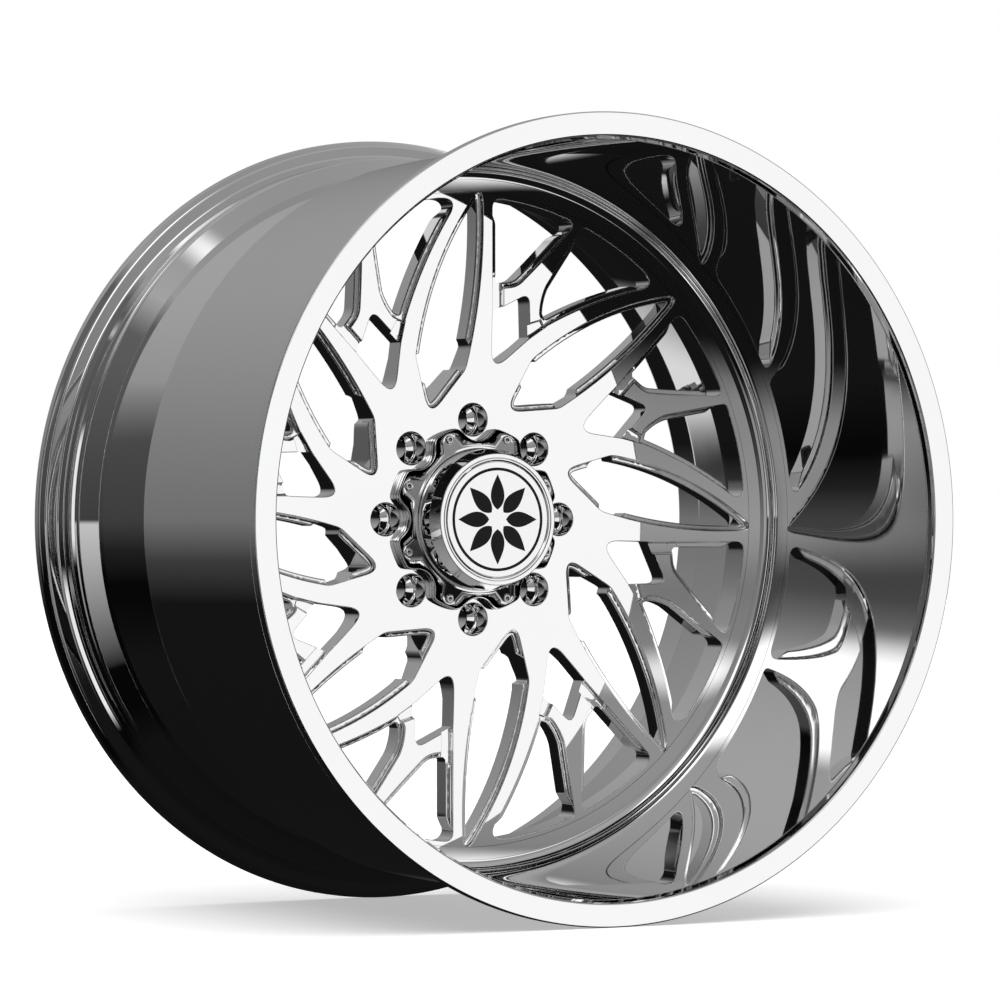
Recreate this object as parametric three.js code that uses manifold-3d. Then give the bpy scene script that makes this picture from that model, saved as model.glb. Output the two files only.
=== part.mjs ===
// Forged deep-dish wheel rim, 24 x 14 inch, bolt-on centre cap, clamp-in tyre valve.
// Units are millimetres. The wheel axis runs along Y: -Y is the front (lip side), +Y the brake side.
// +Z is up and the origin is on the axis, midway between the two flanges.
import * as THREE from 'three';
import * as BufferGeometryUtils from 'three/addons/utils/BufferGeometryUtils.js';
import Module from 'manifold-3d';

const wasm = await Module();
wasm.setup();

// ---------------------------------------------------------------- driving dimensions
const SECTORS = 8; // the face pattern repeats eight times
const TURN_STEPS = 48; // facets round the wheel
const CAP_STEPS = 32; // facets round the centre cap
const SMALL_STEPS = 12; // facets round small turned pieces
const FIT_GAP = 0.3; // clearance between pieces that touch

const RIM_WIDTH = 395.6; // over both flanges
const FLANGE_R = 322.5; // outside of both flanges
const LIP_INNER_R = 304.8; // inner edge of the flat front lip
const BEAD_SEAT_R = 304.8;
const FRONT_Y = -RIM_WIDTH / 2;
const REAR_Y = RIM_WIDTH / 2;

const FACE_Y = FRONT_Y + 231; // flat face of the spokes
const SPOKE_DEPTH = 19; // spoke thickness behind the face
const RING_DEPTH = 26; // thickness where the centre meets the barrel
const SEAM_R = 271; // joint between the centre and the barrel
const WINDOW_R = 267; // outer edge of the outer windows
const PAD_Y = 76; // hub mounting pad, 76 mm behind the mid-plane
const PAD_R = 100; // outside of the hub pad
const HUB_BORE_R = 62.6;
const DISH_FILLET_R = 20; // fillet from the face into the dish

const BOLT_CIRCLE_R = 82.55; // 165.1 mm pitch circle, eight holes
const LUG_POCKET_R = 13.5;
const LUG_POCKET_DEPTH = 18;
const LUG_BORE_R = 8;
const LUG_SEAT_TOP_R = 12;
const LUG_SEAT_DEPTH = 7;

const LEDGE_WIDTH = 4.6; // milled ledge round the windows
const LEDGE_DEPTH = 3;
const NOTCH_DEPTH = 4.5; // milled across the feet of the branches
const LEAF_RELIEF = [123, 146]; // radii between which the leaf has no ledge
const LEDGE_END_R = 252; // the ledge of the outer windows ends here

const CAP_FLANGE_T = 10.2;
const CAP_LOBE_R = 77.6;
const CAP_SCALLOP_R = 17.4;
const CAP_BARREL_R = 58;
const CAP_FRONT_R = 54.2;
const CAP_FRONT_Y = -8.2;
const CAP_BEVEL_LENGTH = 11.4;
const CAP_WALL = 5;
const CAP_DISC_R = 47.5;
const CAP_DISC_T = 2.4;
const CAP_RING_R = 50.4;
const CAP_SCREW_CIRCLE_R = 71;
const CAP_SCREW_HEAD_R = 3.3;
const CAP_SCREW_SHANK_R = 1.9;
const CAP_SCREW_LENGTH = 20;
const CAP_SPIGOT_LENGTH = 9; // spigot that centres the cap in the hub bore
const CAP_GROOVE = { front: 3, width: 3.4, depth: 3 }; // O-ring groove in the spigot
const CAP_ORING_SECTION = 1.35;

const VALVE_Y = 115; // axial place of the valve, in the drop centre
const VALVE_ANGLE = 22.5; // from three o'clock towards twelve o'clock, seen from the front
const VALVE_SEAT_R = 281.2; // inner surface of the barrel at the valve
const VALVE_OUTER_R = 288; // outer surface of the barrel at the valve
const DROP_CENTRE_R = 284; // deepest part of the drop centre
const DROP_CENTRE_INNER_R = 277.5; // inner surface there
const FLAT_IN = VALVE_SEAT_R + 0.9; // spot-faced seats on both sides of the hole
const FLAT_OUT = VALVE_OUTER_R - 0.9;
const VALVE_HOLE_R = 5.75;
const VALVE_FLAT_R = 11;
const STEM_BASE_R = 8.5;
const STEM_R = 4.1;
const STEM_TIP_R = 3.85;
const STEM_LENGTH = 38; // from the inner seat to the tip
const STEM_BORE_R = 2.65;
const CORE_TRAVEL = 1.5;
const CAP_TRAVEL = 3.2;

// ---------------------------------------------------------------- finishes
const finish = (color, roughness, metalness) =>
  new THREE.MeshStandardMaterial({ color, roughness, metalness });
const CHROME = finish(0xd9dbde, 0.06, 1);
const BRUSHED = finish(0xe2e3e4, 0.3, 1);
const STEEL = finish(0xa9adb2, 0.25, 1);
const BRASS = finish(0xb98f45, 0.3, 1);
const RUBBER = finish(0x151515, 0.8, 0);
const BLACK_PLASTIC = finish(0x1a1b1c, 0.45, 0);

// ---------------------------------------------------------------- solids
function toSolid(geometry) {
  const bare = geometry.index ? geometry.toNonIndexed() : geometry.clone();
  bare.deleteAttribute('normal');
  bare.deleteAttribute('uv');
  const merged = BufferGeometryUtils.mergeVertices(bare, 1e-4);
  const mesh = new wasm.Mesh({
    numProp: 3,
    vertProperties: new Float32Array(merged.attributes.position.array),
    triVerts: new Uint32Array(merged.index.array),
  });
  return new wasm.Manifold(mesh);
}

function toGeometry(solid) {
  const mesh = solid.getMesh();
  const geometry = new THREE.BufferGeometry();
  geometry.setAttribute('position', new THREE.BufferAttribute(new Float32Array(mesh.vertProperties), 3));
  geometry.setIndex(new THREE.BufferAttribute(new Uint32Array(mesh.triVerts), 1));
  geometry.computeVertexNormals();
  return geometry;
}

const united = (solids) => solids.reduce((all, solid) => all.add(solid));
const point = (x, y) => new THREE.Vector2(x, y);
const polar = (radius, degrees) => {
  const angle = THREE.MathUtils.degToRad(degrees);
  return point(radius * Math.cos(angle), radius * Math.sin(angle));
};

// A closed profile of [radius, y] pairs turned about the Y axis.
function turned(profile, steps = TURN_STEPS) {
  const points = profile.map(([radius, y]) => point(Math.max(radius, 0), y));
  const closes = profile[0][0] > 0;
  if (closes) points.push(points[0].clone());
  const area = THREE.ShapeUtils.area(points);
  if (area < 0) points.reverse();
  return toSolid(new THREE.LatheGeometry(points, steps));
}

// An outline in the plane of the face (x right, y up) extruded from one Y level to another.
function prism(outline, yFront, yRear) {
  const geometry = new THREE.ExtrudeGeometry(new THREE.Shape(outline), {
    depth: yRear - yFront,
    bevelEnabled: false,
    steps: 1,
  });
  geometry.rotateX(Math.PI / 2);
  geometry.translate(0, yRear, 0);
  return toSolid(geometry);
}

const circleOutline = (radius, steps, centre = point(0, 0), start = 0) =>
  Array.from({ length: steps }, (_, i) => polar(radius, start + (360 * i) / steps).add(centre));

// Copies of one cut at every sector.
function aroundAxis(solid, count = SECTORS) {
  return united(Array.from({ length: count }, (_, i) => solid.rotate([0, (-360 * i) / count, 0])));
}

// ---------------------------------------------------------------- window outlines
// Each corner is { at, round, bow }: its place, its corner radius, and how far the side that
// follows bows to the left of its own direction. Places are for the sector at twelve o'clock.
const corner = (at, round, bow = 0) => ({ at, round, bow });

// The bow of a chord of the circle WINDOW_R.
function rimBow(a, b) {
  return WINDOW_R - Math.sqrt(WINDOW_R ** 2 - a.distanceToSquared(b) / 4);
}

const onRim = (x, y) => point(x, y).setLength(WINDOW_R);

function roundedOutline(corners, cornerSteps = 3, sideSteps = 3) {
  const sides = corners.map(({ at, bow }, i) => {
    const next = corners[(i + 1) % corners.length].at;
    const left = point(at.y - next.y, next.x - at.x).normalize();
    const middle = at.clone().lerp(next, 0.5).addScaledVector(left, 2 * bow);
    return new THREE.QuadraticBezierCurve(at, middle, next);
  });
  const trims = corners.map(({ round }, i) => {
    const before = sides[(i + corners.length - 1) % corners.length];
    const after = sides[i];
    const inward = before.getTangent(1).negate();
    const opening = Math.acos(THREE.MathUtils.clamp(inward.dot(after.getTangent(0)), -1, 1));
    const reach = round / Math.tan(opening / 2);
    return {
      start: 1 - Math.min(reach / before.getLength(), 0.48),
      end: Math.min(reach / after.getLength(), 0.48),
      before,
      after,
    };
  });
  const outline = [];
  corners.forEach(({ at, bow }, i) => {
    const { start, end, before, after } = trims[i];
    const bend = new THREE.QuadraticBezierCurve(before.getPointAt(start), at, after.getPointAt(end));
    outline.push(...bend.getPoints(cornerSteps));
    const stop = trims[(i + 1) % corners.length].start;
    const steps = bow === 0 ? 1 : sideSteps;
    for (let k = 1; k < steps; k += 1) {
      outline.push(after.getPointAt(end + ((stop - end) * k) / steps));
    }
  });
  return outline;
}

// Shortest distance from a point to a closed outline.
function distanceTo(outline, p) {
  const nearest = new THREE.Vector3();
  const target = new THREE.Vector3(p.x, p.y, 0);
  const lengths = outline.map((a, i) => {
    const b = outline[(i + 1) % outline.length];
    const side = new THREE.Line3(new THREE.Vector3(a.x, a.y, 0), new THREE.Vector3(b.x, b.y, 0));
    return side.closestPointToPoint(target, true, nearest).distanceTo(target);
  });
  return Math.min(...lengths);
}

const LEAST_STEP = 1.2; // shorter steps of an inset outline are dropped

// Moves a clockwise outline inwards. Points that a tight corner would fold over are left out.
function inset(outline, distance) {
  const moved = outline.map((p, i) => {
    const before = outline[(i + outline.length - 1) % outline.length];
    const after = outline[(i + 1) % outline.length];
    const along = after.clone().sub(before).normalize();
    return p.clone().add(point(along.y, -along.x).multiplyScalar(distance));
  });
  const clear = moved.filter((p) => distanceTo(outline, p) > 0.95 * distance);
  return clear.filter((p, i) => p.distanceTo(clear[(i + 1) % clear.length]) > LEAST_STEP);
}

const LEAF = roundedOutline([
  corner(point(8.6, 278), 6, 6.8),
  corner(point(-7, 124.2), 18),
  corner(point(-41.1, 84.7), 8.8),
  corner(point(-54, 134.3), 20, 10.8),
], 3, 5);

const OUTER_A_LEFT = onRim(19, 266.3);
const OUTER_A_RIGHT = onRim(99.5, 247.8);
const OUTER_A = roundedOutline([
  corner(OUTER_A_LEFT, 8, rimBow(OUTER_A_LEFT, OUTER_A_RIGHT)),
  corner(OUTER_A_RIGHT, 6.5, 0.8),
  corner(point(43, 193.8), 22, 0.3),
  corner(point(19.1, 191.2), 2),
]);

const OUTER_B_LEFT = onRim(106, 245);
const OUTER_B_RIGHT = onRim(-11.8, 266.8).rotateAround(point(0, 0), -Math.PI / 4);
const OUTER_B = roundedOutline([
  corner(OUTER_B_LEFT, 5, rimBow(OUTER_B_LEFT, OUTER_B_RIGHT)),
  corner(OUTER_B_RIGHT, 10, -4.6),
  corner(point(69, 160.5), 3),
  corner(point(64, 170.5), 6, 1.5),
  corner(point(70.2, 195), 30, 0.2),
]);

const INNER = roundedOutline([
  corner(point(19, 171.9), 1.5),
  corner(point(54, 188.3), 6),
  corner(point(55, 151.3), 1.5),
  corner(point(18.2, 122.8), 9, 0.3),
], 3, 1);

const NOTCH_A = [point(19.1, 193), point(29.6, 193), point(29.6, 176.4), point(19.1, 171)];
const NOTCH_B = [point(53.6, 160.4), point(67.1, 167), point(70.6, 161), point(54.6, 150.4)];

// ---------------------------------------------------------------- wheel
function rimBarrel() {
  const filletY = FACE_Y - DISH_FILLET_R;
  const dishFillet = Array.from({ length: 6 }, (_, i) => {
    const angle = (Math.PI / 2) * (i / 5);
    return [SEAM_R + FIT_GAP + DISH_FILLET_R * Math.sin(angle), filletY + DISH_FILLET_R * Math.cos(angle)];
  });
  const profile = [
    // front lip and flange
    [LIP_INNER_R, FRONT_Y],
    [FLANGE_R - 0.8, FRONT_Y],
    [FLANGE_R, FRONT_Y + 0.8],
    [FLANGE_R, FRONT_Y + 9],
    [FLANGE_R - 3, FRONT_Y + 12],
    [BEAD_SEAT_R + 4, FRONT_Y + 15],
    [BEAD_SEAT_R, FRONT_Y + 20],
    // front bead seat, plateau and step into the drop centre
    [303, FRONT_Y + 42],
    [300.5, FRONT_Y + 236],
    [287.5, FRONT_Y + 252],
    [DROP_CENTRE_R, FRONT_Y + 268],
    [292, FRONT_Y + 336],
    [305, FRONT_Y + 347],
    // hump, rear bead seat and rear flange
    [305.6, FRONT_Y + 350.5],
    [303, FRONT_Y + 355],
    [BEAD_SEAT_R, REAR_Y - 20],
    [BEAD_SEAT_R + 4, REAR_Y - 15],
    [FLANGE_R - 3, REAR_Y - 12],
    [FLANGE_R, REAR_Y - 9],
    [FLANGE_R, REAR_Y],
    [LIP_INNER_R, REAR_Y],
    // brake side, back to the seam
    [299.5, REAR_Y - 6],
    [298, FRONT_Y + 352],
    [286.5, FRONT_Y + 337],
    [DROP_CENTRE_INNER_R, FRONT_Y + 276],
    [DROP_CENTRE_INNER_R, FRONT_Y + 262],
    [SEAM_R + FIT_GAP, FACE_Y + RING_DEPTH],
    ...dishFillet,
    // dish and bevelled inner edge of the lip
    [LIP_INNER_R - 4, FRONT_Y + 9.5],
    [LIP_INNER_R - 1.4, FRONT_Y + 3],
  ].filter(([radius, y], i, all) => i === 0 || radius !== all[i - 1][0] || y !== all[i - 1][1]);
  const flatOuter = valveRound(VALVE_FLAT_R, FLAT_OUT, VALVE_OUTER_R + 12, SMALL_STEPS);
  const flatInner = valveRound(VALVE_FLAT_R, VALVE_SEAT_R - 12, FLAT_IN, SMALL_STEPS);
  const hole = valveRound(VALVE_HOLE_R, VALVE_SEAT_R - 12, VALVE_OUTER_R + 12, SMALL_STEPS);
  const valveSeat = flatOuter.add(flatInner).add(hole).rotate([0, 180 - VALVE_ANGLE, 0]);
  return turned(profile).subtract(valveSeat);
}

// A window cut: the full outline down to the ledge, and the inset outline right through.
// Between the relief radii the full outline goes right through too.
function windowCut(outline, reliefInner, reliefOuter) {
  const rear = PAD_Y + 1;
  const mouth = prism(outline, FACE_Y - 1, FACE_Y + LEDGE_DEPTH);
  const through = prism(inset(outline, LEDGE_WIDTH), FACE_Y - 1, rear);
  const reliefRing = turned([
    [reliefInner, FACE_Y - 2],
    [reliefOuter, FACE_Y - 2],
    [reliefOuter, rear + 1],
    [reliefInner, rear + 1],
  ]);
  return mouth.add(through).add(prism(outline, FACE_Y - 1, rear).intersect(reliefRing));
}

function spokeCentre() {
  const blank = turned([
    [HUB_BORE_R, FACE_Y],
    [SEAM_R, FACE_Y],
    [SEAM_R, FACE_Y + RING_DEPTH],
    [WINDOW_R - 8, FACE_Y + SPOKE_DEPTH],
    [150, FACE_Y + SPOKE_DEPTH],
    [PAD_R + 14, PAD_Y - 12],
    [PAD_R, PAD_Y],
    [HUB_BORE_R + 1.5, PAD_Y],
    [HUB_BORE_R, PAD_Y - 1.5],
  ]);
  const lug = turned([
    [0, FACE_Y - 1],
    [LUG_POCKET_R, FACE_Y - 1],
    [LUG_POCKET_R, FACE_Y + LUG_POCKET_DEPTH],
    [LUG_SEAT_TOP_R, FACE_Y + LUG_POCKET_DEPTH],
    [LUG_BORE_R, FACE_Y + LUG_POCKET_DEPTH + LUG_SEAT_DEPTH],
    [LUG_BORE_R, PAD_Y + 1],
    [0, PAD_Y + 1],
  ], SMALL_STEPS).translate([0, 0, BOLT_CIRCLE_R]);
  const tapping = turned([
    [0, FACE_Y - 1],
    [CAP_SCREW_SHANK_R + FIT_GAP, FACE_Y - 1],
    [CAP_SCREW_SHANK_R + FIT_GAP, FACE_Y + CAP_SCREW_LENGTH - 4],
    [0, FACE_Y + CAP_SCREW_LENGTH - 4],
  ], 8).translate([0, 0, CAP_SCREW_CIRCLE_R]).rotate([0, 180 / SECTORS, 0]);
  const sector = united([
    windowCut(LEAF, LEAF_RELIEF[0], LEAF_RELIEF[1]),
    windowCut(OUTER_A, LEDGE_END_R, WINDOW_R + 2),
    windowCut(OUTER_B, LEDGE_END_R, WINDOW_R + 2),
    prism(INNER, FACE_Y - 1, PAD_Y + 1),
    prism(NOTCH_A, FACE_Y - 1, FACE_Y + NOTCH_DEPTH),
    prism(NOTCH_B, FACE_Y - 1, FACE_Y + NOTCH_DEPTH),
    lug,
    tapping,
  ]);
  return blank.subtract(aroundAxis(sector));
}

// ---------------------------------------------------------------- centre cap
const CAP_REAR_Y = FACE_Y - FIT_GAP;
const CAP_FLANGE_Y = CAP_REAR_Y - CAP_FLANGE_T;
const CAP_SPAN = 180 / SECTORS;
const CAP_SPIGOT_R = HUB_BORE_R - FIT_GAP;
const CAP_SPIGOT_Y = CAP_REAR_Y + CAP_SPIGOT_LENGTH;

function capBody() {
  const flange = prism(circleOutline(CAP_LOBE_R, TURN_STEPS), CAP_FLANGE_Y, CAP_REAR_Y);
  const scallop = prism(
    circleOutline(CAP_SCALLOP_R, 20, point(0, BOLT_CIRCLE_R)),
    CAP_FLANGE_Y - 1,
    CAP_REAR_Y + 1,
  );
  const barrel = turned([
    [0, CAP_SPIGOT_Y],
    [CAP_SPIGOT_R, CAP_SPIGOT_Y],
    [CAP_SPIGOT_R, CAP_REAR_Y + CAP_GROOVE.front + CAP_GROOVE.width],
    [CAP_SPIGOT_R - CAP_GROOVE.depth, CAP_REAR_Y + CAP_GROOVE.front + CAP_GROOVE.width],
    [CAP_SPIGOT_R - CAP_GROOVE.depth, CAP_REAR_Y + CAP_GROOVE.front],
    [CAP_SPIGOT_R, CAP_REAR_Y + CAP_GROOVE.front],
    [CAP_SPIGOT_R, CAP_REAR_Y - 1],
    [CAP_BARREL_R + 2.5, CAP_REAR_Y - 1],
    [CAP_BARREL_R + 2.5, CAP_FLANGE_Y],
    [CAP_BARREL_R, CAP_FLANGE_Y - 2.5],
    [CAP_BARREL_R, CAP_FRONT_Y + CAP_BEVEL_LENGTH],
    [CAP_FRONT_R, CAP_FRONT_Y],
    [0, CAP_FRONT_Y],
  ], CAP_STEPS);
  const hollow = turned([
    [0, CAP_SPIGOT_Y + 1],
    [CAP_BARREL_R - CAP_WALL, CAP_SPIGOT_Y + 1],
    [CAP_BARREL_R - CAP_WALL, CAP_FRONT_Y + CAP_BEVEL_LENGTH],
    [CAP_RING_R, CAP_FRONT_Y + CAP_WALL + 3],
    [0, CAP_FRONT_Y + CAP_WALL + 3],
  ], CAP_STEPS);
  const recess = turned([
    [0, CAP_FRONT_Y - 1],
    [CAP_RING_R + FIT_GAP, CAP_FRONT_Y - 1],
    [CAP_RING_R + FIT_GAP, CAP_FRONT_Y + CAP_DISC_T + FIT_GAP],
    [0, CAP_FRONT_Y + CAP_DISC_T + FIT_GAP],
  ], CAP_STEPS);
  const screwHole = turned([
    [0, CAP_FLANGE_Y - 1],
    [CAP_SCREW_HEAD_R + FIT_GAP, CAP_FLANGE_Y - 1],
    [CAP_SCREW_HEAD_R + FIT_GAP, CAP_FLANGE_Y + 4],
    [CAP_SCREW_SHANK_R + FIT_GAP, CAP_FLANGE_Y + 4],
    [CAP_SCREW_SHANK_R + FIT_GAP, CAP_REAR_Y + 1],
    [0, CAP_REAR_Y + 1],
  ], 10).translate([0, 0, CAP_SCREW_CIRCLE_R]).rotate([0, CAP_SPAN, 0]);
  return flange
    .subtract(aroundAxis(scallop))
    .add(barrel)
    .subtract(hollow)
    .subtract(recess)
    .subtract(aroundAxis(screwHole));
}

function capDisc() {
  return turned([
    [0, CAP_FRONT_Y + 0.4],
    [CAP_DISC_R - 0.6, CAP_FRONT_Y + 0.4],
    [CAP_DISC_R, CAP_FRONT_Y + 1],
    [CAP_DISC_R, CAP_FRONT_Y + CAP_DISC_T],
    [0, CAP_FRONT_Y + CAP_DISC_T],
  ], CAP_STEPS);
}

function capTrimRing() {
  return turned([
    [CAP_DISC_R + FIT_GAP, CAP_FRONT_Y + 0.6],
    [CAP_DISC_R + 1.2, CAP_FRONT_Y],
    [CAP_RING_R, CAP_FRONT_Y],
    [CAP_RING_R, CAP_FRONT_Y + CAP_DISC_T],
    [CAP_DISC_R + FIT_GAP, CAP_FRONT_Y + CAP_DISC_T],
  ], CAP_STEPS);
}

function capScrew() {
  const headRear = CAP_FLANGE_Y + 4 - FIT_GAP;
  const body = turned([
    [0, CAP_FLANGE_Y + 0.2],
    [CAP_SCREW_HEAD_R - 0.5, CAP_FLANGE_Y + 0.2],
    [CAP_SCREW_HEAD_R, CAP_FLANGE_Y + 0.7],
    [CAP_SCREW_HEAD_R, headRear],
    [CAP_SCREW_SHANK_R, headRear],
    [CAP_SCREW_SHANK_R, CAP_FLANGE_Y + CAP_SCREW_LENGTH - 1],
    [CAP_SCREW_SHANK_R - 0.6, CAP_FLANGE_Y + CAP_SCREW_LENGTH],
    [0, CAP_FLANGE_Y + CAP_SCREW_LENGTH],
  ], 10);
  const socket = prism(circleOutline(1.75, 6), CAP_FLANGE_Y - 1, CAP_FLANGE_Y + 2.4);
  return body.subtract(socket);
}

function capORing() {
  const grooveMiddle = CAP_REAR_Y + CAP_GROOVE.front + CAP_GROOVE.width / 2;
  const centre = point(CAP_SPIGOT_R - CAP_ORING_SECTION, grooveMiddle);
  return turned(circleOutline(CAP_ORING_SECTION, 6, centre).map((p) => [p.x, p.y]), CAP_STEPS);
}

// ---------------------------------------------------------------- tyre valve
// The valve is drawn at nine o'clock, with its own axis along X, and its group is then turned to its place.
// A round of the given radius between two distances from the wheel axis, measured along -X.
function valveRound(radius, nearR, farR, steps) {
  return valveTurned([[0, nearR], [radius, nearR], [radius, farR], [0, farR]], steps);
}

// A profile of [radius, distance from the wheel axis] pairs turned about the valve axis.
function valveTurned(profile, steps) {
  return turned(profile, steps).rotate([0, 0, 90]).translate([0, VALVE_Y, 0]);
}

const STEM_TIP = FLAT_IN - STEM_LENGTH;
const WASHER_T = 1.5;
const NUT_T = 6;
const GROMMET_T = 3;
const CORE_SEAT = STEM_TIP + 17; // the core body ends here
const SPRING_LENGTH = 6;

function valveStem() {
  const base = FLAT_OUT + FIT_GAP + GROMMET_T + FIT_GAP;
  return valveTurned([
    [1.5, base + 3.5],
    [STEM_BASE_R, base + 3.5],
    [STEM_BASE_R, base],
    [STEM_R, base],
    [STEM_R, STEM_TIP + 9],
    [STEM_TIP_R, STEM_TIP + 8.5],
    [STEM_TIP_R, STEM_TIP + 0.6],
    [STEM_TIP_R - 0.6, STEM_TIP],
    [STEM_BORE_R, STEM_TIP],
    [STEM_BORE_R, CORE_SEAT + 2.8 + CORE_TRAVEL + SPRING_LENGTH],
    [1.5, CORE_SEAT + 3.6 + CORE_TRAVEL + SPRING_LENGTH],
  ], SMALL_STEPS);
}

function valveGrommet() {
  const rear = FLAT_OUT + FIT_GAP;
  return valveTurned([
    [STEM_R + FIT_GAP, rear + GROMMET_T],
    [STEM_BASE_R + 0.8, rear + GROMMET_T],
    [STEM_BASE_R + 1.2, rear],
    [VALVE_HOLE_R - FIT_GAP, rear],
    [VALVE_HOLE_R - FIT_GAP, FLAT_IN + 0.6],
    [STEM_R + FIT_GAP, FLAT_IN + 0.6],
  ], SMALL_STEPS);
}

function valveWasher() {
  const front = FLAT_IN - FIT_GAP;
  return valveTurned([
    [STEM_R + FIT_GAP, front],
    [8.2, front],
    [8.2, front - WASHER_T],
    [STEM_R + FIT_GAP, front - WASHER_T],
  ], SMALL_STEPS);
}

function valveNut() {
  const front = FLAT_IN - FIT_GAP - WASHER_T - FIT_GAP;
  const hexagon = valveRound(7.6, front - NUT_T, front, 6);
  return hexagon.subtract(valveRound(STEM_R + FIT_GAP, front - NUT_T - 1, front + 1, SMALL_STEPS));
}

function valveCoreBody() {
  return valveTurned([
    [1, STEM_TIP + 1.5],
    [STEM_BORE_R - FIT_GAP, STEM_TIP + 1.5],
    [STEM_BORE_R - FIT_GAP, STEM_TIP + 7],
    [2, STEM_TIP + 8],
    [STEM_BORE_R - FIT_GAP, STEM_TIP + 9],
    [STEM_BORE_R - FIT_GAP, CORE_SEAT],
    [1, CORE_SEAT],
  ], 12);
}

function valveCorePin() {
  return valveTurned([
    [0, STEM_TIP - 0.2],
    [0.7, STEM_TIP - 0.2],
    [0.7, CORE_SEAT + FIT_GAP],
    [2, CORE_SEAT + FIT_GAP],
    [2, CORE_SEAT + 1.8],
    [0, CORE_SEAT + 1.8],
  ], 12);
}

function valveCoreSpring() {
  const turns = 4;
  const meanRadius = 1.7;
  const wire = 0.3;
  const start = CORE_SEAT + 2.2 + CORE_TRAVEL;
  const stepsPerTurn = 10;
  const points = Array.from({ length: turns * stepsPerTurn + 1 }, (_, i) => {
    const angle = (2 * Math.PI * i) / stepsPerTurn;
    const along = start + wire + ((SPRING_LENGTH - 2 * wire) * i) / (turns * stepsPerTurn);
    return new THREE.Vector3(-along, VALVE_Y + meanRadius * Math.cos(angle), meanRadius * Math.sin(angle));
  });
  const geometry = new THREE.ExtrudeGeometry(new THREE.Shape(circleOutline(wire, 5)), {
    steps: turns * stepsPerTurn,
    bevelEnabled: false,
    extrudePath: new THREE.CatmullRomCurve3(points),
  });
  return toSolid(geometry);
}

const CAP_SEAL_T = 1.2;
const CAP_SEAL_NEAR = STEM_TIP - FIT_GAP - CAP_SEAL_T;

function valveCapSeal() {
  const bore = 1.1;
  return valveTurned([
    [bore, CAP_SEAL_NEAR],
    [3.8, CAP_SEAL_NEAR],
    [3.8, CAP_SEAL_NEAR + CAP_SEAL_T],
    [bore, CAP_SEAL_NEAR + CAP_SEAL_T],
  ], 16);
}

function valveCap() {
  const near = CAP_SEAL_NEAR - FIT_GAP - 1.6;
  return valveTurned([
    [0, near],
    [3.9, near],
    [4.9, near + 1],
    [4.9, STEM_TIP + 8],
    [4.15, STEM_TIP + 8],
    [4.15, near + 1.6],
    [0, near + 1.6],
  ], SMALL_STEPS);
}

// ---------------------------------------------------------------- assembly
const wheel = new THREE.Group();

function place(parent, name, solid, material) {
  const mesh = new THREE.Mesh(toGeometry(solid), material);
  mesh.name = name;
  parent.add(mesh);
  return mesh;
}

place(wheel, 'rim_barrel', rimBarrel(), CHROME);
place(wheel, 'spoke_centre', spokeCentre(), CHROME);

const cap = new THREE.Group();
place(cap, 'cap_body', capBody(), CHROME);
place(cap, 'cap_disc', capDisc(), BRUSHED);
place(cap, 'cap_trim_ring', capTrimRing(), CHROME);
place(cap, 'cap_o_ring', capORing(), RUBBER);
const screw = capScrew();
for (let i = 0; i < SECTORS; i += 1) {
  const angle = THREE.MathUtils.degToRad((360 * (i + 0.5)) / SECTORS);
  const mesh = place(cap, `cap_screw_${i + 1}`, screw, STEEL);
  mesh.position.set(CAP_SCREW_CIRCLE_R * Math.sin(angle), 0, CAP_SCREW_CIRCLE_R * Math.cos(angle));
}
wheel.add(cap);

const valve = new THREE.Group();
valve.rotation.y = THREE.MathUtils.degToRad(180 - VALVE_ANGLE);
place(valve, 'valve_stem', valveStem(), CHROME);
place(valve, 'valve_grommet', valveGrommet(), RUBBER);
place(valve, 'valve_washer', valveWasher(), STEEL);
place(valve, 'valve_nut', valveNut(), CHROME);
place(valve, 'valve_core_body', valveCoreBody(), BRASS);
place(valve, 'valve_core_pin', valveCorePin(), BRASS);
place(valve, 'valve_core_spring', valveCoreSpring(), STEEL);
place(valve, 'valve_cap_seal', valveCapSeal(), RUBBER);
place(valve, 'valve_cap', valveCap(), BLACK_PLASTIC);
wheel.add(valve);

export default wheel;
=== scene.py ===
# %% [markdown]
# # A deep-dish forged wheel rim
# The wheel is a polished barrel with a flat lip, a forged centre pierced by leaf and branch
# windows, a bolted cap and a tyre valve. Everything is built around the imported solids, which
# come first and are never moved, so each piece here takes its place from them.

# %% Load the frame
import math

import bpy
import numpy as np
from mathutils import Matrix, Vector
from mathutils.geometry import delaunay_2d_cdt


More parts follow.
